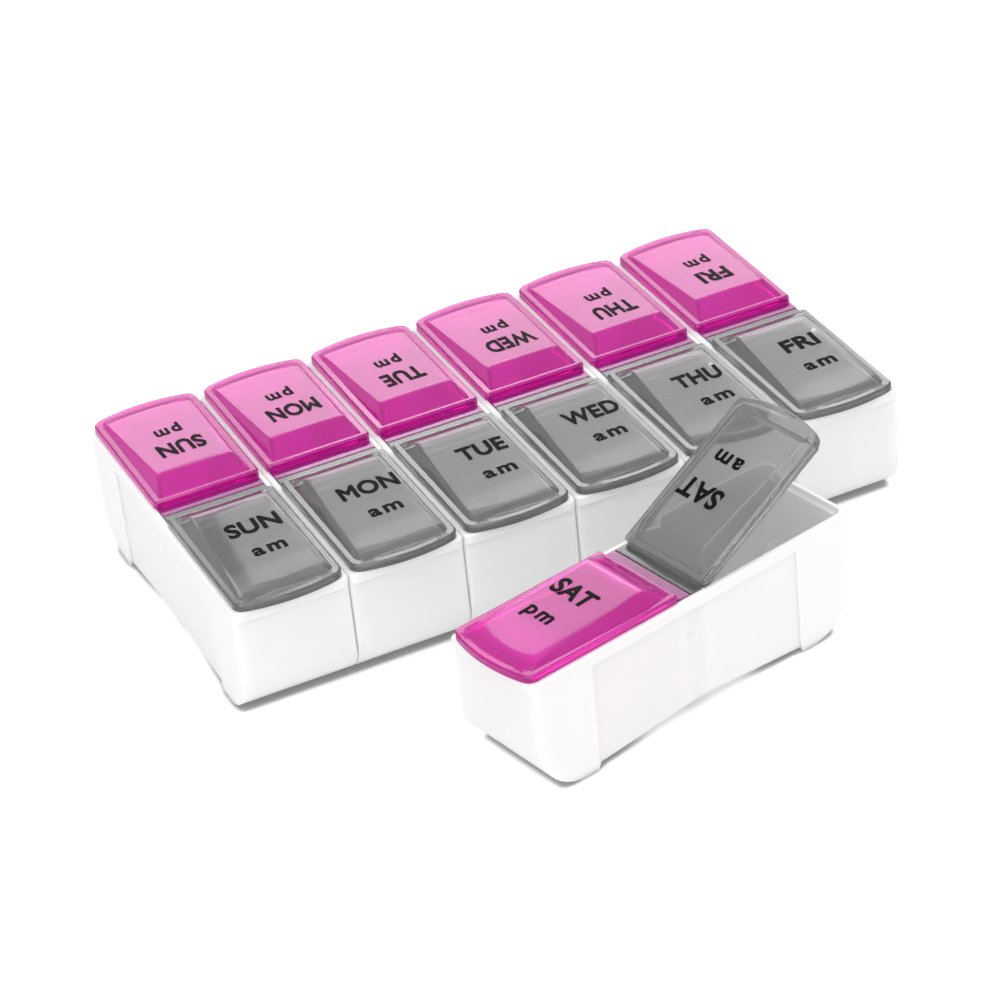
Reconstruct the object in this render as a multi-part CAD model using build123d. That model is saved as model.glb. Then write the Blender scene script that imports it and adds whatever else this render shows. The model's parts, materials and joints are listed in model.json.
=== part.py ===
from build123d import *
import os

# Weekly pill organizer in millimetres. Seven pods stand side by side along X, joined by dovetails.
# Each pod is a tray with a morning compartment (towards -Y) and an evening one (towards +Y),
# and each compartment has a domed lid on a living hinge beside the divider. +Z is up.

# Row
days = ["sun", "mon", "tue", "wed", "thu", "fri", "sat"]
row_days = days[:-1]
pod_pitch = 31.0
pod_gap = 0.15

# The last pod is unhooked and stands askew in front of the row, with its morning lid ajar
loose_turn = 103.6
loose_shift = 0.7
loose_gap = 10.2
ajar_angle = 29.3

# Tray shell
tray_length = 100.0
tray_height = 33.1
end_radius = 13.7
corner_radius = 1.2
side_wall = 1.1
end_wall = 1.3
floor_wall = 1.4
divider_wall = 1.2
pocket_corner = 2.0
heel_radius = 3.2

# Feet at both ends, with a low arch between them
foot_length = 17.0
foot_height = 1.2
arch_rise = 2.5
arch_radius = 66.0

# Rim round the top of the tray
rim_height = 3.0
rim_overhang = 0.9
rim_wall = 1.4
rim_chamfer = 0.4
rim_corner = 2.0
ledge_depth = 1.9

# Dovetail between pods: a recess on the -X side and a tongue on the +X side
recess_depth = 0.7
undercut = 0.35
slide_clearance = 0.15
pip_radius = 1.0
pip_depth = 0.25
pip_offset = 2.2
pip_height = 22.6

# Hinge strips, let into the divider, and the thin fold between strip and lid
strip_width = 3.4
strip_thickness = 0.9
strip_proud = 0.2
strip_gap = 0.2
strip_end_gap = 0.1
strip_chamfer = 0.2
fold_width = 0.6
fold_thickness = 0.4
fold_gap = 0.15
axis_setback = 0.2

# Lid plate
lid_inset = 1.06
lid_thickness = 2.0
lid_bow = 2.4
lid_corner = 3.0
hinge_corner = 1.0
lid_chamfer = 0.5
lid_wall = 1.2
seat_gap = 0.1

# Raised crown of the lid: steep by the hinge, falling to a low toe at the free end
crown_height = 2.9
crown_inset = 1.8
crown_hinge_margin = 1.1
crown_slope_run = 5.8
crown_toe_height = 0.7
crown_toe_run = 1.4
crown_end_margin = 1.0
crown_draft = 35.0
crown_chamfer = 0.4

# Plug under the lid, which drops into the rim
plug_depth = 1.5
plug_wall = 1.2
plug_clearance = 0.3

# Not sizes of the object: how far a cut runs past a face, and how near counts as on a face
overcut = 1.0
hair = 1e-3

# Sizes that follow from the ones above
half_width = (pod_pitch - pod_gap) / 2
half_length = tray_length / 2
arch_end = half_length - foot_length
arch_top = foot_height + arch_rise
rim_bottom = tray_height - rim_height
divider_half = strip_gap / 2 + strip_width
pocket_half_width = half_width - recess_depth - side_wall
pocket_end = half_length - end_wall
mouth_half_width = half_width - rim_wall
mouth_end = half_length + rim_overhang - rim_wall
strip_top = tray_height + strip_proud
strip_seat = strip_top - strip_thickness
strip_half_length = mouth_half_width - strip_end_gap
hinge_edge = divider_half + fold_width
hinge_y = hinge_edge - axis_setback
hinge_z = strip_top
lid_half_width = half_width - lid_inset
lid_bottom = tray_height + seat_gap
lid_top = lid_bottom + lid_thickness
fold_half_length = lid_half_width - hinge_corner
crown_half_width = lid_half_width - crown_inset
crown_start = hinge_edge + crown_hinge_margin
crown_end = half_length - crown_end_margin


# Underside of the tray at a distance from its middle, before the top of the arch is eased
def underside(distance):
    return arch_top - arch_rise * distance / arch_end


# Side view of the tray, with scooped ends, level feet and the arch between them
def side_outline(top):
    right = [(half_length, top), (half_length, 0), (arch_end, 0), (arch_end, foot_height)]
    left = [(-y, z) for y, z in reversed(right)]
    face = make_face(Polyline(*right, (0, arch_top), *left, close=True))
    scoops = [v for v in face.vertices() if abs(v.X) > arch_end + hair and v.Y < hair]
    face = fillet(scoops, end_radius)
    crest = [v for v in face.vertices() if abs(v.X) < hair]
    return fillet(crest, arch_radius)


# Outer shape of the tray: the side view, with upright corners rounded in plan
def tray_block():
    top = rim_bottom + rim_height / 2
    body = extrude(Plane.YZ * side_outline(top), half_width, both=True)
    return body & extrude(RectangleRounded(2 * half_width, 2 * half_length, corner_radius), top)


# Band round the top, flush with the sides and proud of the end walls
def rim():
    plan = RectangleRounded(2 * half_width, 2 * (half_length + rim_overhang), rim_corner)
    band = Pos(0, 0, rim_bottom) * extrude(plan, rim_height)
    top_and_bottom = band.edges().group_by(Axis.Z)[-1] + band.edges().group_by(Axis.Z)[0]
    return chamfer(top_and_bottom, rim_chamfer)


# Room of the evening compartment: a floor that falls from the divider and sweeps up the end wall
def compartment():
    floor_by_divider = underside(divider_half) + floor_wall
    floor_by_end = underside(pocket_end) + floor_wall
    top = tray_height + overcut
    by_divider = [(divider_half, top), (divider_half, floor_by_divider)]
    by_end = [(pocket_end, floor_by_end), (pocket_end, top)]
    face = make_face(Polyline(*by_divider, *by_end, close=True))
    heel = [v for v in face.vertices() if v.X < divider_half + hair and v.Y < arch_top + 2 * floor_wall]
    face = fillet(heel, heel_radius)
    sweep = [v for v in face.vertices() if v.X > pocket_end - hair and v.Y < arch_top]
    face = fillet(sweep, end_radius - end_wall)
    length = pocket_end - divider_half
    plan = RectangleRounded(2 * pocket_half_width, length, pocket_corner)
    column = Pos(0, divider_half + length / 2) * extrude(plan, top)
    return extrude(Plane.YZ * face, pocket_half_width, both=True) & column


# Wider mouth of the compartment, which leaves a ledge inside the rim for the lid's plug
def mouth():
    length = mouth_end - divider_half
    plan = Pos(0, divider_half + length / 2) * Rectangle(2 * mouth_half_width, length)
    plan = fillet(plan.vertices().group_by(Axis.Y)[-1], rim_corner)
    return Pos(0, 0, tray_height - ledge_depth) * extrude(plan, ledge_depth + overcut)


# Trough across the divider, between the side rims, in which both hinge strips lie
def strip_trough():
    depth = tray_height - strip_seat
    cut = Box(2 * mouth_half_width, 2 * divider_half, depth + overcut)
    return Pos(0, 0, strip_seat + (depth + overcut) / 2) * cut


# Hollow under the divider, open below, which leaves two walls and a web
def divider_hollow():
    width = 2 * (divider_half - divider_wall)
    height = strip_seat - divider_wall
    return Pos(0, 0, height / 2 - overcut / 2) * Box(2 * pocket_half_width, width, height + overcut)


# Half length of the dovetail recess at a depth behind the side face
def recess_half_length(depth):
    return arch_end - undercut + undercut * depth / recess_depth


# Plan of a dovetail between two X places, given its half length at each
def dovetail(near_x, near_half, far_x, far_half):
    front = [(near_x, -near_half), (far_x, -far_half)]
    back = [(far_x, far_half), (near_x, near_half)]
    return make_face(Polyline(*front, *back, close=True))


# Recess on the -X side, open below and closed by the rim above
def recess():
    open_x = -half_width - overcut
    floor_x = -half_width + recess_depth
    plan = dovetail(open_x, recess_half_length(-overcut), floor_x, recess_half_length(recess_depth))
    return Pos(0, 0, -overcut) * extrude(plan, rim_bottom + overcut)


# Tongue on the +X side, which fills the next pod's recess but for the sliding clearance
def tongue():
    root_x = half_width - overcut
    tip_x = half_width + pod_gap + recess_depth - slide_clearance
    root_half = recess_half_length(-pod_gap - overcut) - slide_clearance
    tip_half = recess_half_length(recess_depth - slide_clearance) - slide_clearance
    slab = extrude(dovetail(root_x, root_half, tip_x, tip_half), rim_bottom - slide_clearance)
    return slab & extrude(Plane.YZ * side_outline(rim_bottom), 2 * half_width)


# Shallow round dimple in the middle of the recess
def pip():
    centre = Pos(-half_width + recess_depth, pip_offset, pip_height)
    return centre * Rot(0, 90, 0) * Cylinder(pip_radius, 2 * pip_depth)


def tray():
    shell = tray_block() + rim()
    for turn in (0, 180):
        shell -= Rot(0, 0, turn) * (compartment() + mouth())
    shell -= strip_trough()
    shell -= divider_hollow()
    shell -= recess()
    shell += tongue()
    return shell - pip()


# Plate of the evening lid, square by the hinge and bowed at the free end
def lid_plate():
    sides = Polyline(
        (lid_half_width, half_length),
        (lid_half_width, hinge_edge),
        (-lid_half_width, hinge_edge),
        (-lid_half_width, half_length),
    )
    bow = ThreePointArc(sides @ 1, (0, half_length + lid_bow), sides @ 0)
    face = make_face([sides, bow])
    face = fillet(face.vertices().group_by(Axis.Y)[0], hinge_corner)
    face = fillet([v for v in face.vertices() if v.Y > half_length - hair], lid_corner)
    plate = Pos(0, 0, lid_bottom) * extrude(face, lid_thickness)
    return chamfer(plate.edges().group_by(Axis.Z)[-1], lid_chamfer)


# Crown in side view and with drafted sides, standing on a level and drawn in by an inset
def crown(level, inset):
    start = crown_start + inset
    crest = crown_start + crown_slope_run
    end = crown_end - inset
    points = [
        (start, level),
        (crest, level + crown_height),
        (end - crown_toe_run, level + crown_toe_height),
        (end, level),
    ]
    profile = extrude(Plane.YZ * make_face(Polyline(*points, close=True)), crown_half_width, both=True)
    length = end - start
    plan = Pos(0, start + length / 2) * Rectangle(2 * (crown_half_width - inset), length)
    return profile & (Pos(0, 0, level) * extrude(plan, crown_height + overcut, taper=crown_draft))


# Outer crown, with its upper edges eased
def crown_shell():
    dome = crown(lid_top, 0)
    return chamfer([e for e in dome.edges() if e.center().Z > lid_top + hair], crown_chamfer)


# Room under the crown, one lid wall inside the outer shape
def lid_hollow():
    level = lid_top - lid_wall
    length = crown_end - crown_start - 2 * lid_wall
    width = 2 * (crown_half_width - lid_wall)
    plan = Pos(0, crown_start + lid_wall + length / 2) * Rectangle(width, length)
    return crown(level, lid_wall) + Pos(0, 0, lid_bottom) * extrude(plan, level - lid_bottom)


# Ring under the plate that drops into the mouth, with its back wall level with the hinge edge
def plug_ring():
    half = mouth_half_width - plug_clearance
    length = mouth_end - plug_clearance - hinge_edge
    outer = RectangleRounded(2 * half, length, rim_corner - plug_clearance)
    inner = Rectangle(2 * (half - plug_wall), length - 2 * plug_wall)
    return Pos(0, hinge_edge + length / 2, lid_bottom - plug_depth) * extrude(outer - inner, plug_depth)


# Half of the thin fold, level with the top of the strip, between two distances from the divider's middle
def fold_half(near, far):
    web = Box(2 * fold_half_length, far - near, fold_thickness)
    return Pos(0, (near + far) / 2, hinge_z - fold_thickness / 2) * web


# Evening lid, closed
def lid():
    shell = lid_plate() + crown_shell() - lid_hollow() + plug_ring()
    return shell + fold_half(hinge_edge - (fold_width - fold_gap) / 2, hinge_edge)


# Evening hinge strip, seated in the trough
def hinge_strip():
    bar = Box(2 * strip_half_length, strip_width, strip_thickness)
    bar = chamfer(bar.edges().group_by(Axis.Z)[-1], strip_chamfer)
    seated = Pos(0, divider_half - strip_width / 2, strip_seat + strip_thickness / 2) * bar
    return seated + fold_half(divider_half, divider_half + (fold_width - fold_gap) / 2)


# Opening a morning lid lifts its free end about the hinge axis
def opened(piece, angle):
    return Pos(0, -hinge_y, hinge_z) * Rot(-angle, 0, 0) * Pos(0, hinge_y, -hinge_z) * piece


# Place of the unhooked pod: its nearest corner keeps a gap to the lids of the row
def loose_place():
    across = Vector(0, 1, 0).rotate(Axis.Z, loose_turn)
    along = Vector(1, 0, 0).rotate(Axis.Z, loose_turn)
    reach = (half_length + lid_bow) * abs(across.Y) + half_width * abs(along.Y)
    return Pos(loose_shift, -(half_length + lid_bow) - loose_gap - reach, 0) * Rot(0, 0, loose_turn)


# Where each pod stands, measured from the middle of the row
def pod_places():
    middle = (len(row_days) - 1) / 2
    places = {day: Pos((index - middle) * pod_pitch, 0, 0) for index, day in enumerate(row_days)}
    places[days[-1]] = loose_place()
    return places


# Every piece of one pod in the pod's own frame, by node name
def pod_pieces(day, lid_angle):
    turn = Rot(0, 0, 180)
    return {
        "tray_" + day: tray_solid,
        "lid_pm_" + day: lid_solid,
        "lid_am_" + day: opened(turn * lid_solid, lid_angle),
        "hinge_strip_pm_" + day: strip_solid,
        "hinge_strip_am_" + day: turn * strip_solid,
    }


tray_solid = tray()
lid_solid = lid()
strip_solid = hinge_strip()

pieces = {}
for day, place in pod_places().items():
    lid_angle = ajar_angle if day == days[-1] else 0
    for name, piece in pod_pieces(day, lid_angle).items():
        pieces[name] = place * piece

# The origin is the middle of the whole set's footprint, on the table
bounds = Compound(list(pieces.values())).bounding_box()
origin = Pos(-bounds.center().X, -bounds.center().Y, -bounds.min.Z)

os.makedirs("parts", exist_ok=True)
for name, piece in pieces.items():
    export_step(origin * piece, "parts/" + name + ".step")
print(len(pieces), "pieces, overall size", bounds.size)
print("row middle moved to", origin.position)
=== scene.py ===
# %% [markdown]
# # Dressing a weekly pill organizer
#
# The trays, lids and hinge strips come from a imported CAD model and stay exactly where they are. This
# lesson gives them moulded-plastic finishes, softens the crowns of the lids, prints the day names on
# them, and sets up a soft product-photo studio. Everything is in metres, so a size that reads better
# in millimetres is multiplied by MM.

# %% Load the frame
import json
from math import cos, radians, sin

import bmesh
import bpy
from mathutils import Matrix, Vector


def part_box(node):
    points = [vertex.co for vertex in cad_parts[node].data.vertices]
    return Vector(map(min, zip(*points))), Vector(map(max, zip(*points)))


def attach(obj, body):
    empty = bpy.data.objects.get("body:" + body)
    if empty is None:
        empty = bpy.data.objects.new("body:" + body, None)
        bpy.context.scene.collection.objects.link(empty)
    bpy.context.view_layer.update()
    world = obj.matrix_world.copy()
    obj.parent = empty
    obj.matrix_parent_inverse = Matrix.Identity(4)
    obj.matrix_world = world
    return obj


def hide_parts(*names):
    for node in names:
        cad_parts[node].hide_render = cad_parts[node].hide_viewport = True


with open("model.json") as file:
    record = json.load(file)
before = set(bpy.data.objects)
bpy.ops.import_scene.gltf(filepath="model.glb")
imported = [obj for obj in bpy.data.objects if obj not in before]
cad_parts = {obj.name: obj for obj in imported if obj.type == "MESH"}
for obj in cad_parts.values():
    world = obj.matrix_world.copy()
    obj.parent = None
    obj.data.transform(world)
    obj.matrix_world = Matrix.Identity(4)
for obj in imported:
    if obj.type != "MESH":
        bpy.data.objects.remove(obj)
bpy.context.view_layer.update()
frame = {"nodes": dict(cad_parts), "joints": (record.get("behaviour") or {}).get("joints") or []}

bpy.ops.object.select_all(action="DESELECT")

# %% Units and the middle of the row
MM = 0.001


def middle_of(node):
    low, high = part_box(node)
    return (Vector(low) + Vector(high)) / 2


days = [name.split("_")[1] for name in sorted(frame["nodes"]) if name.startswith("tray_")]
days.sort(key=lambda day: (day == "sat", middle_of("tray_" + day).x))
row_middle = (middle_of("lid_am_" + days[0]) + middle_of("lid_am_" + days[5])) / 2
row_middle.y = (middle_of("lid_am_" + days[0]).y + middle_of("lid_pm_" + days[0]).y) / 2
print("days in order:", days, "row middle:", [round(c, 4) for c in row_middle])

# %% [markdown]
# The camera comes first. A long lens far away keeps the pods nearly parallel, as in the picture. It was
# held slightly crooked, so the camera's matrix is built from three turns: round the vertical, up from
# the floor, and a roll.

# %% Camera
camera_place = Vector((-304.6, -747.1, 523.8)) * MM
camera_azimuth = -22.19
camera_elevation = 32.74
camera_roll = -6.29
sensor_width = 36.0
lens = 130.85

bpy.ops.object.camera_add()
camera = bpy.context.object
camera.name = "photo_camera"
camera.data.sensor_width = sensor_width
camera.data.lens = lens
around = Matrix.Rotation(radians(camera_azimuth), 4, "Z")
facing = around @ Matrix.Rotation(radians(90 - camera_elevation), 4, "X")
stand = Matrix.Translation(Vector((row_middle.x, row_middle.y, 0)) + camera_place)
camera.matrix_world = stand @ facing @ Matrix.Rotation(radians(camera_roll), 4, "Z")
bpy.context.scene.camera = camera
print("camera at", [round(c, 3) for c in camera.location])

# %% [markdown]
# Moulded plastic is never one flat value. Under a raking light it shows faint flow marks from the
# mould, a fine orange-peel skin, and light scuffs. One node group makes those three signals, so that
# each plastic can use them in its own strength.

# %% Small helpers for node trees
def group_input(group, name, value):
    socket = group.interface.new_socket(name, in_out="INPUT", socket_type="NodeSocketFloat")
    socket.default_value = value


def group_output(group, name):
    group.interface.new_socket(name, in_out="OUTPUT", socket_type="NodeSocketFloat")


def noise(tree, coordinates, scale, detail):
    node = tree.nodes.new("ShaderNodeTexNoise")
    node.inputs["Detail"].default_value = detail
    tree.links.new(coordinates, node.inputs["Vector"])
    if isinstance(scale, (int, float)):
        node.inputs["Scale"].default_value = scale
    else:
        tree.links.new(scale, node.inputs["Scale"])
    return node.outputs["Fac"]


def remap(tree, value, low=0.0, high=1.0, to_low=0.0, to_high=1.0):
    node = tree.nodes.new("ShaderNodeMapRange")
    for name, number in (("From Min", low), ("From Max", high), ("To Min", to_low), ("To Max", to_high)):
        node.inputs[name].default_value = number
    tree.links.new(value, node.inputs["Value"])
    return node.outputs["Result"]


# %% A group for the moulded skin
flow_scale = 60.0
peel_scale = 1800.0
scratch_scale = 900.0
flow_stretch = (1.0, 0.35, 1.0)

skin = bpy.data.node_groups.new("moulded_skin", "ShaderNodeTree")
group_input(skin, "Flow Scale", flow_scale)
group_input(skin, "Peel Scale", peel_scale)
for name in ("Flow", "Scuff", "Peel"):
    group_output(skin, name)
skin_in = skin.nodes.new("NodeGroupInput")
skin_out = skin.nodes.new("NodeGroupOutput")
object_place = skin.nodes.new("ShaderNodeTexCoord").outputs["Object"]
stretch = skin.nodes.new("ShaderNodeMapping")
stretch.inputs["Scale"].default_value = flow_stretch
skin.links.new(object_place, stretch.inputs["Vector"])
stretched_place = stretch.outputs["Vector"]
flow_marks = noise(skin, stretched_place, skin_in.outputs["Flow Scale"], detail=3)
skin.links.new(flow_marks, skin_out.inputs["Flow"])
scratches = noise(skin, stretched_place, scratch_scale, detail=6)
skin.links.new(remap(skin, scratches, low=0.55, high=0.7), skin_out.inputs["Scuff"])
orange_peel = noise(skin, object_place, skin_in.outputs["Peel Scale"], detail=2)
skin.links.new(orange_peel, skin_out.inputs["Peel"])
print("moulded_skin gives", [item.name for item in skin.interface.items_tree if item.in_out == "OUTPUT"])

# %% [markdown]
# Handled edges get a little paler. The Bevel node gives the normal of a rounded edge, and where it
# differs from the true normal the surface is close to an edge. That makes a mask with no painting.

# %% A group for worn edges
wear_radius = 0.4 * MM
bevel_samples = 4

wear = bpy.data.node_groups.new("worn_edge", "ShaderNodeTree")
group_input(wear, "Radius", wear_radius)
group_output(wear, "Mask")
wear_in = wear.nodes.new("NodeGroupInput")
wear_out = wear.nodes.new("NodeGroupOutput")
rounded = wear.nodes.new("ShaderNodeBevel")
rounded.samples = bevel_samples
wear.links.new(wear_in.outputs["Radius"], rounded.inputs["Radius"])
flat = wear.nodes.new("ShaderNodeNewGeometry")
agree = wear.nodes.new("ShaderNodeVectorMath")
agree.operation = "DOT_PRODUCT"
wear.links.new(rounded.outputs["Normal"], agree.inputs[0])
wear.links.new(flat.outputs["Normal"], agree.inputs[1])
wear.links.new(remap(wear, agree.outputs["Value"], low=0.99, high=0.8), wear_out.inputs["Mask"])
print("worn_edge looks for edges within", wear_radius / MM, "mm")

# %% [markdown]
# Each plastic is one Principled shader. The group signals only nudge its colour, roughness and
# bump, by amounts small enough to read as moulded and not as dirty. The lids are tinted and let most
# light through, so that the room below shows. The white trays scatter light under their surface,
# which lifts the narrow seams and the inside of the open room, as thin white plastic does.

# %% Mix two colours
def mixed_colour(tree, factor, first, second):
    mix = tree.nodes.new("ShaderNodeMix")
    mix.data_type = "RGBA"
    tree.links.new(factor, mix.inputs["Factor"])
    for socket, colour in ((mix.inputs["A"], first), (mix.inputs["B"], second)):
        if isinstance(colour, tuple):
            socket.default_value = (*colour, 1.0)
        else:
            tree.links.new(colour, socket)
    return mix.outputs["Result"]


# %% A moulded plastic
plastic_ior = 1.49
edge_wear = 0.5
scuff_gain = 1.12
peel_depth = 0.03 * MM


def moulded_plastic(name, colour, tint, edge_colour, roughness, see_through, peel):
    material = bpy.data.materials.new(name)
    material.use_nodes = True
    tree = material.node_tree
    shader = tree.nodes["Principled BSDF"]
    surface = tree.nodes.new("ShaderNodeGroup")
    surface.node_tree = skin
    edges = tree.nodes.new("ShaderNodeGroup")
    edges.node_tree = wear
    flow = remap(tree, surface.outputs["Flow"], low=0.35, high=0.65)
    body_colour = mixed_colour(tree, flow, colour, tint)
    edge_share = remap(tree, edges.outputs["Mask"], to_high=edge_wear)
    worn_colour = mixed_colour(tree, edge_share, body_colour, edge_colour)
    tree.links.new(worn_colour, shader.inputs["Base Color"])
    rough = remap(tree, surface.outputs["Scuff"], to_low=roughness, to_high=roughness * scuff_gain)
    tree.links.new(rough, shader.inputs["Roughness"])
    bump = tree.nodes.new("ShaderNodeBump")
    bump.inputs["Strength"].default_value = peel
    bump.inputs["Distance"].default_value = peel_depth
    tree.links.new(surface.outputs["Peel"], bump.inputs["Height"])
    tree.links.new(bump.outputs["Normal"], shader.inputs["Normal"])
    shader.inputs["IOR"].default_value = plastic_ior
    shader.inputs["Transmission Weight"].default_value = see_through
    return material


# %% The three plastics
white_tray = moulded_plastic(
    "white_plastic", colour=(0.94, 0.94, 0.942), tint=(0.96, 0.96, 0.962),
    edge_colour=(0.97, 0.97, 0.97), roughness=0.38, see_through=0.0, peel=0.25)
smoke_lid = moulded_plastic(
    "smoke_plastic", colour=(0.42, 0.42, 0.422), tint=(0.46, 0.46, 0.462),
    edge_colour=(0.54, 0.54, 0.54), roughness=0.07, see_through=0.82, peel=0.01)
magenta_lid = moulded_plastic(
    "magenta_plastic", colour=(0.97, 0.02, 0.60), tint=(0.98, 0.035, 0.64),
    edge_colour=(0.98, 0.2, 0.72), roughness=0.07, see_through=0.75, peel=0.01)
scatter_share = 0.6
scatter_reach = 3 * MM
white_shader = white_tray.node_tree.nodes["Principled BSDF"]
white_shader.inputs["Subsurface Weight"].default_value = scatter_share
white_shader.inputs["Subsurface Radius"].default_value = (1.0, 1.0, 1.0)
white_shader.inputs["Subsurface Scale"].default_value = scatter_reach
print("plastics:", white_tray.name, smoke_lid.name, magenta_lid.name)

# %% [markdown]
# A CAD node keeps its mesh. Only its material slots are filled: white for the trays, smoke grey for
# everything on the morning side, and magenta for the evening side.

# %% Finish the CAD nodes
for name, node in frame["nodes"].items():
    finish = white_tray
    if "_am_" in name:
        finish = smoke_lid
    if "_pm_" in name:
        finish = magenta_lid
    node.data.materials.clear()
    node.data.materials.append(finish)
print("finished", len(frame["nodes"]), "nodes")

# %% [markdown]
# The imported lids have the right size, but the crown of a real lid is softer: its crest is rounded,
# its foot follows the bow of the plate, and its top swells a little. So the crown is modelled again
# on a copy of one lid. All the lids are alike, so each lid gets a frame of its own on its hinge, the
# copy is worked on in that frame, and the finished shape is set on every hinge.

# %% Which way each lid lies
joints = {joint["name"]: joint for joint in frame["joints"]}


def lid_axes(side, day):
    joint = joints["open_" + side + "_" + day]
    axis = Vector(joint["axis"]).normalized()
    opened = -radians(joint["range_deg"][0])
    turn = Matrix.Rotation(opened, 3, axis)
    outward = turn @ Vector((0, 0, 1)).cross(axis)
    upward = turn @ Vector((0, 0, 1))
    return Vector(joint["pos_m"]), -axis, outward, upward


def lid_frame(side, day):
    hinge, right, outward, upward = lid_axes(side, day)
    turned = Matrix((-right, outward, upward)).transposed().to_4x4()
    return Matrix.Translation(hinge) @ turned


print("the SAT morning lid points", [round(c, 3) for c in lid_axes("am", "sat")[2]])

# %% Sizes of the soft crown, from the hinge axis
plate_top = 1.9 * MM
foot_half_width = 12.565 * MM
foot_start = 1.3 * MM
foot_end = 44.9 * MM
foot_bow = 1.85 * MM
front_corner = 3.2 * MM
back_corner = 0.6 * MM
crest_height = 2.9 * MM
side_run = 2.03 * MM
hinge_run = 5.8 * MM
toe_run = 1.7 * MM
toe_height = 0.7 * MM
top_fall = 0.06
swell = 0.28 * MM
crest_softness = 0.6 * MM
toe_softness = 0.8 * MM
print("the crown is", round(foot_half_width * 2 / MM, 2), "mm wide and", crest_height / MM, "mm high")

# %% Points along the crown's outline
least_front_corner = 0.2 * MM
least_back_corner = 0.1 * MM
back_corner_steps = 5
side_steps = 40
front_corner_steps = 7
half_end_steps = 8
half_start_steps = 5


def corner_points(x, y, radius, first, last, count):
    points = []
    for step in range(count + 1):
        angle = radians(first + (last - first) * step / count)
        points.append((x + radius * cos(angle), y + radius * sin(angle)))
    return points


def end_line(x):
    return foot_end + foot_bow * (1 - (x / foot_half_width) ** 2)


# %% Outline of the crown, drawn in from its sides, hinge end and free end
def crown_outline(from_side, from_hinge, from_end):
    half = foot_half_width - from_side
    start = foot_start + from_hinge
    front = max(front_corner - from_end, least_front_corner)
    back = max(back_corner - from_side, least_back_corner)
    side_end = end_line(half - front) - from_end - front
    ring = corner_points(half - back, start + back, back, -90, 0, back_corner_steps)
    for step in range(1, side_steps):
        ring.append((half, start + back + (side_end - start - back) * step / side_steps))
    ring += corner_points(half - front, side_end, front, 0, 90, front_corner_steps)
    right_side = list(ring)
    for step in range(1, 2 * half_end_steps):
        x = (half - front) * (1 - step / half_end_steps)
        ring.append((x, end_line(x) - from_end))
    ring += [(-x, y) for x, y in reversed(right_side)]
    for step in range(1, 2 * half_start_steps):
        ring.append(((half - back) * (step / half_start_steps - 1), start))
    return ring


print("outline points", len(crown_outline(0, 0, 0)))


# %% [markdown]
# The crown is a roof of five slopes: two sides, the hinge slope, the toe and the top. At every point
# the lowest slope counts, and where two of them come close, they run into each other with a curve.

# %% Height of the crown over the plate
def soft_least(first, second, softness):
    near = max(softness - abs(first - second), 0) / softness
    return min(first, second) - near * near * softness / 4


def crown_rise(x, y, drawn_in):
    steep = crest_height / side_run
    by_hinge = (y - foot_start) * crest_height / hinge_run
    by_end = (end_line(x) - y) * toe_height / toe_run
    swelling = swell * (1 - (x / foot_half_width) ** 4)
    top = crest_height - (y - foot_start - hinge_run) * top_fall + swelling
    rise = soft_least(steep * (foot_half_width - abs(x)), top, crest_softness)
    rise = soft_least(soft_least(rise, by_hinge, crest_softness), by_end, toe_softness)
    return max(min(rise, steep * drawn_in), 0)


crest_line = foot_start + hinge_run
print("crest", round(crown_rise(0, crest_line + 2 * MM, side_run + 8 * MM) / MM, 2), "mm over the plate")

# %% Copy one lid and take its flat crown off
merge_distance = 1e-6
facing_up = 0.01
plate_slack = 0.01 * MM

pattern = frame["nodes"]["lid_pm_sun"].data.copy()
pattern.transform(lid_frame("pm", "sun").inverted())
work = bmesh.new()
work.from_mesh(pattern)
bmesh.ops.remove_doubles(work, verts=work.verts, dist=merge_distance)
lowest_top = plate_top - plate_slack
old_top = [f for f in work.faces if f.normal.z > facing_up and f.calc_center_median().z > lowest_top]
bmesh.ops.delete(work, geom=old_top, context="FACES")
print("took off", len(old_top), "faces")

# %% Raise the soft crown, ring by ring
slope_rings = 14
top_rings = [0.15, 0.4, 0.9, 1.8, 3.0, 5.0, 8.0]
runs = (side_run, hinge_run, toe_run)
drawn_ins = [tuple(run * k / slope_rings for run in runs) for k in range(slope_rings + 1)]
drawn_ins += [tuple(run + more * MM for run in runs) for more in top_rings]
rings = []
for from_side, from_hinge, from_end in drawn_ins:
    outline = crown_outline(from_side, from_hinge, from_end)
    rings.append([work.verts.new((x, y, plate_top + crown_rise(x, y, from_side))) for x, y in outline])
for lower, upper in zip(rings, rings[1:]):
    for here in range(len(lower)):
        after = (here + 1) % len(lower)
        work.faces.new((lower[here], lower[after], upper[after], upper[here]))
work.faces.new(rings[-1])
work.to_mesh(pattern)
work.free()
print("raised", len(rings), "rings")

# %% [markdown]
# The plate and the new crown still have an open edge each. Both are edge loops, so Bridge closes the
# flat strip between them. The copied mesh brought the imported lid's normals along, which would shade
# the new faces wrongly, so they are cleared before the lid is shaded smooth.

# %% Close the lid and shade it
smooth_angle = 20
foot_lift = 0.02 * MM

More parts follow.
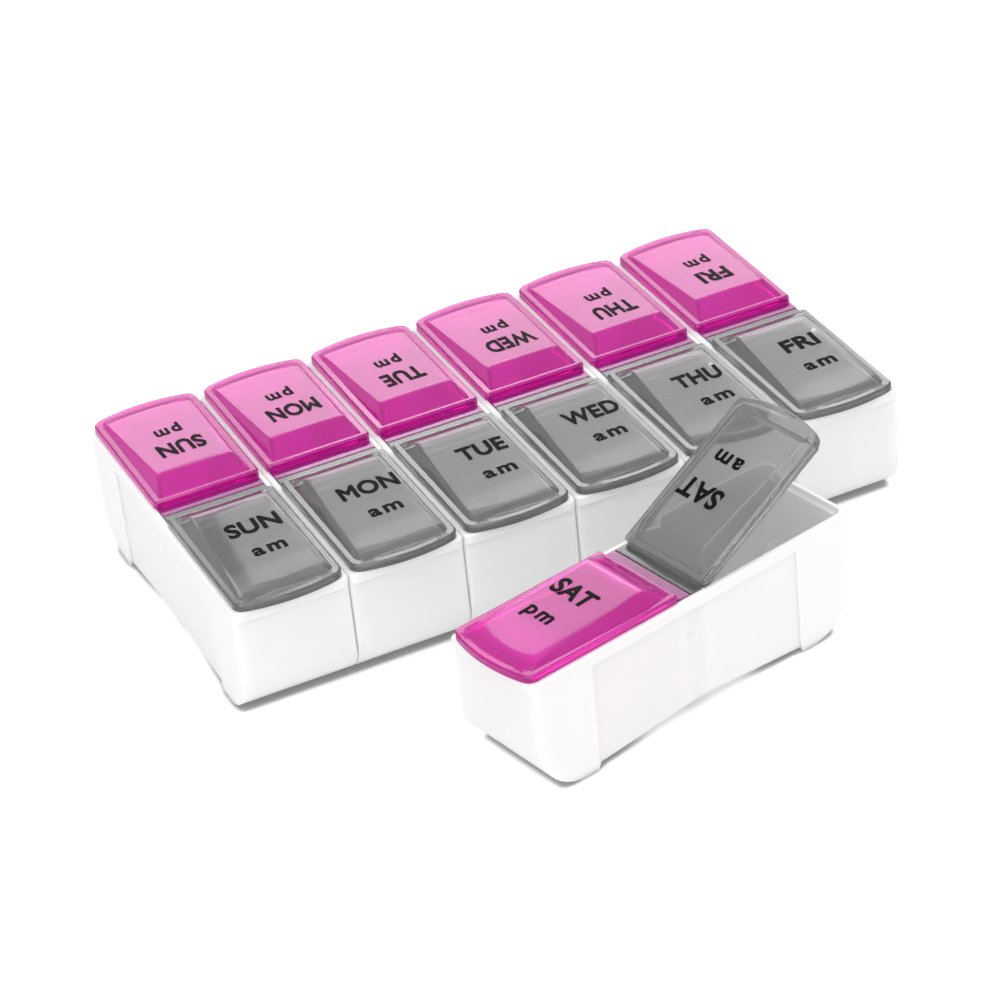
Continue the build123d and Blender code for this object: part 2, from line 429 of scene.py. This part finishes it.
bpy.ops.object.select_all(action="DESELECT")
lid_pattern = bpy.data.objects.new("lid_pattern", pattern)
bpy.context.collection.objects.link(lid_pattern)
bpy.context.view_layer.objects.active = lid_pattern
lid_pattern.select_set(True)
bpy.ops.object.mode_set(mode="EDIT")
bpy.ops.mesh.select_all(action="DESELECT")
bpy.ops.mesh.select_mode(type="EDGE")
bpy.ops.mesh.select_non_manifold()
bpy.ops.mesh.bridge_edge_loops()
bpy.ops.object.mode_set(mode="OBJECT")
bpy.ops.mesh.customdata_custom_splitnormals_clear()
bpy.ops.object.shade_smooth_by_angle(angle=radians(smooth_angle))
for edge in pattern.edges:
    if all(pattern.vertices[v].co.z > plate_top + foot_lift for v in edge.vertices):
        edge.use_edge_sharp = False
lid_pattern.select_set(False)
print("soft lid has", len(pattern.polygons), "faces")

# %% Set the lid on every hinge
soft_lids = {}
for day in days:
    for side in ("am", "pm"):
        node = "lid_" + side + "_" + day
        lid = bpy.data.objects.new("soft_" + node, pattern.copy())
        bpy.context.collection.objects.link(lid)
        lid.data.transform(lid_frame(side, day))
        lid.data.materials.clear()
        lid.data.materials.append(smoke_lid if side == "am" else magenta_lid)
        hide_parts(node)
        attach(lid, node)
        soft_lids[node] = lid
bpy.data.objects.remove(lid_pattern)
bpy.context.view_layer.update()
print("set", len(soft_lids), "lids")

# %% [markdown]
# The day names are black ink printed on the sloping top of each lid. Ink follows the surface, so the
# words are not placed by guess: rays dropped on the lid find the slope under the letters.

# %% Where a ray meets the lid
drop_height = 20 * MM


def touch(lid, above, downward):
    hit, place = lid.ray_cast(above, downward)[:2]
    if not hit:
        raise ValueError("no surface under the letters of " + lid.name)
    return place


# %% Ink
ink_shine = 0.07
ink_black = (0.002, 0.002, 0.002)
ink_worn = (0.012, 0.012, 0.012)

ink = bpy.data.materials.new("black_ink")
ink.use_nodes = True
ink_tree = ink.node_tree
ink_shader = ink_tree.nodes["Principled BSDF"]
ink_shader.inputs["Specular IOR Level"].default_value = ink_shine
ink_skin = ink_tree.nodes.new("ShaderNodeGroup")
ink_skin.node_tree = skin
ink_fade = remap(ink_tree, ink_skin.outputs["Scuff"], to_high=0.4)
ink_colour = mixed_colour(ink_tree, ink_fade, ink_black, ink_worn)
ink_tree.links.new(ink_colour, ink_shader.inputs["Base Color"])
ink_rough = remap(ink_tree, ink_skin.outputs["Flow"], to_low=0.45, to_high=0.6)
ink_tree.links.new(ink_rough, ink_shader.inputs["Roughness"])
print("ink:", ink.name)

# %% [markdown]
# Blender's own letters are thinner than printed capitals. Each outline point is moved outwards along
# the bisector of its two edges, which keeps every stroke parallel and thickens it by the same amount.

# %% Thicken flat letters
letter_merge = 1e-5
sharpest_corner = 0.3


def thicken(letters, amount):
    mesh = bmesh.new()
    mesh.from_mesh(letters)
    bmesh.ops.remove_doubles(mesh, verts=mesh.verts, dist=letter_merge)
    moves = {}
    for edge in mesh.edges:
        if len(edge.link_loops) != 1:
            continue
        loop = edge.link_loops[0]
        run = (loop.link_loop_next.vert.co - loop.vert.co).normalized()
        away = run.cross(Vector((0, 0, 1)))
        for v in edge.verts:
            moves.setdefault(v, []).append(away)
    for v, aways in moves.items():
        bisector = sum(aways, Vector()).normalized()
        v.co += bisector * amount / max(bisector.dot(aways[0]), sharpest_corner)
    mesh.to_mesh(letters)
    mesh.free()


# %% Make the letters of one word, one unit thick
def solid_word(name, text, spacing, weight):
    bpy.ops.object.text_add()
    word = bpy.context.object
    word.data.body = text
    word.data.space_character = spacing
    bpy.ops.object.convert(target="MESH")
    word = bpy.context.object
    word.name = name
    thicken(word.data, weight)
    bpy.ops.object.mode_set(mode="EDIT")
    bpy.ops.mesh.select_all(action="SELECT")
    bpy.ops.mesh.extrude_region_move(TRANSFORM_OT_translate={"value": (0, 0, 1)})
    bpy.ops.object.mode_set(mode="OBJECT")
    return word


# %% Print one word
ink_thickness = 0.06 * MM
ink_clearance = 0.5


def print_word(word, side, day, distance, height, width, shift):
    hinge, right, outward, upward = lid_axes(side, day)
    lid = soft_lids["lid_" + side + "_" + day]
    xs = [v.co.x for v in word.data.vertices]
    tall = height / max(v.co.y for v in word.data.vertices)
    wide = width / (max(xs) - min(xs))
    middle = (max(xs) + min(xs)) / 2
    baseline = distance + height
    for v in word.data.vertices:
        x = (v.co.x - middle) * wide + shift
        y = baseline - v.co.y * tall
        above = hinge + right * x + outward * y + upward * drop_height
        lift = (v.co.z + ink_clearance) * ink_thickness
        v.co = touch(lid, above, -upward) + upward * lift
    word.data.materials.clear()
    word.data.materials.append(ink)
    word.select_set(False)
    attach(word, "lid_" + side + "_" + day)


# %% [markdown]
# The print is not quite the same on every lid. Its place across the lid wanders by about a
# millimetre, and the evening words of the row are taller and narrower than the others.

# %% Where each word sits, in millimetres from the hinge and from the middle of the lid
day_widths = {"sun": 14.2, "mon": 15.8, "tue": 12.9, "wed": 15.3, "thu": 13.1, "fri": 10.1, "sat": 13.2}
am_shifts = {"sun": 1.85, "mon": 2.2, "tue": 2.8, "wed": 2.85, "thu": 2.8, "fri": 2.1, "sat": 1.8}
pm_shifts = {"sun": -0.4, "mon": -0.9, "tue": -0.8, "wed": -1.15, "thu": -0.9, "fri": -0.7, "sat": -1.75}
pm_starts = {"sun": 14.7, "mon": 14.8, "tue": 13.8, "wed": 13.7, "thu": 13.0, "fri": 14.0, "sat": 15.8}
am_start = 16.0
day_height = 5.6
half_height = 3.1
half_width = 8.9
half_start = 12.2

# %% The evening words of the row, and how the letters are set
row_day_height = 6.7
row_day_width = 0.88
row_half_height = 3.4
row_half_width = 7.2
row_half_start = 11.6
day_spacing = 1.05
half_spacing = 1.25
day_weight = 0.034
half_weight = 0.03

# %% Print all lids
for day in days:
    for side in ("am", "pm"):
        start = am_start if side == "am" else pm_starts[day]
        shift = am_shifts[day] if side == "am" else pm_shifts[day]
        in_row = side == "pm" and day != "sat"
        tall = row_day_height if in_row else day_height
        wide = day_widths[day] * (row_day_width if in_row else 1.0)
        word = solid_word("ink_day_" + side + "_" + day, day.upper(), day_spacing, day_weight)
        print_word(word, side, day, start * MM, tall * MM, wide * MM, shift * MM)
        start += row_half_start if in_row else half_start
        tall = row_half_height if in_row else half_height
        wide = row_half_width if in_row else half_width
        word = solid_word("ink_half_" + side + "_" + day, side, half_spacing, half_weight)
        print_word(word, side, day, start * MM, tall * MM, wide * MM, shift * MM)
print("printed", 2 * len(days), "lids")

# %% [markdown]
# The studio is a white floor under a broad overhead light, with two small soft boxes behind the row.
# The low one is the pale reflection on the evening lids. The high one lights the morning lids, except
# for their rolled left sides. Both are hidden from diffuse rays, so that they show in the glossy lids
# and don't bleach the back of the trays. The floor shows as pure white to the camera, and an Ambient
# Occlusion node paints a narrow grey shadow into the floor's colour at the foot of the trays, which so
# much soft light would wash out.

# %% Floor
floor_size = 6.0
floor_glow = 0.35
# The reach and the grey of the shadow that is painted into the floor at the foot of the trays.
painted_shadow_reach = 2.8 * MM
painted_shadow_grey = (0.35, 0.35, 0.35)
floor_white = (0.9, 0.9, 0.9)
glow_white = (1.0, 1.0, 1.0)

bpy.ops.mesh.primitive_plane_add(size=floor_size)
floor = bpy.context.object
floor.name = "floor"
floor_look = bpy.data.materials.new("white_floor")
floor_look.use_nodes = True
floor_tree = floor_look.node_tree
floor_shader = floor_tree.nodes["Principled BSDF"]
floor_shader.inputs["Roughness"].default_value = 0.9
floor_shader.inputs["Specular IOR Level"].default_value = 0.0
seen = floor_tree.nodes.new("ShaderNodeLightPath").outputs["Is Camera Ray"]
glow = remap(floor_tree, seen, to_high=floor_glow)
floor_tree.links.new(glow, floor_shader.inputs["Emission Strength"])
# Painted shadow: the Ambient Occlusion factor mixes the floor's colour and its glow towards grey where
# the trays stand close.
contact = floor_tree.nodes.new("ShaderNodeAmbientOcclusion")
contact.inputs["Distance"].default_value = painted_shadow_reach
openness = remap(floor_tree, contact.outputs["AO"], low=0.5, high=0.85)
for socket, white in (("Base Color", floor_white), ("Emission Color", glow_white)):
    shaded = mixed_colour(floor_tree, openness, painted_shadow_grey, white)
    floor_tree.links.new(shaded, floor_shader.inputs[socket])
floor.data.materials.append(floor_look)
floor.select_set(False)
print("the floor is", floor_size, "m wide")

# %% World
world_light = 0.85
world_seen = 1.0

world = bpy.data.worlds.new("studio")
bpy.context.scene.world = world
world.use_nodes = True
world_tree = world.node_tree
background = world_tree.nodes["Background"]
background.inputs["Color"].default_value = (1.0, 1.0, 1.0, 1.0)
seen = world_tree.nodes.new("ShaderNodeLightPath").outputs["Is Camera Ray"]
world_strength = remap(world_tree, seen, to_low=world_light, to_high=world_seen)
world_tree.links.new(world_strength, background.inputs["Strength"])
print("the world lights the part with a strength of", world_light)


# %% A soft box
def soft_box(name, place, target, width, height, power):
    bpy.ops.object.light_add(type="AREA", location=place)
    lamp = bpy.context.object
    lamp.name = name
    lamp.data.shape = "RECTANGLE"
    lamp.data.size = width
    lamp.data.size_y = height
    lamp.data.energy = power
    lamp.rotation_euler = (Vector(target) - Vector(place)).to_track_quat("-Z", "Y").to_euler()
    lamp.select_set(False)
    return lamp


# %% Lamps
row_spot = (row_middle.x, row_middle.y, 0.03)
lamps = [
    soft_box("overhead", (-0.3, -0.5, 1.4), row_spot, width=1.4, height=1.4, power=10.6),
    soft_box("behind_low", (0.44, 1.25, 0.70), row_spot, width=0.8, height=0.42, power=2.4),
    soft_box("behind_high", (0.67, 1.25, 1.12), row_spot, width=0.66, height=0.46, power=2.1),
]
for lamp in lamps[1:]:
    lamp.visible_diffuse = False
bpy.context.scene.view_settings.view_transform = "Standard"
print("lamps:", [lamp.name for lamp in lamps])

# %% [markdown]
# The last cell brings the scene up to date.

# %% Finish
bpy.context.view_layer.update()
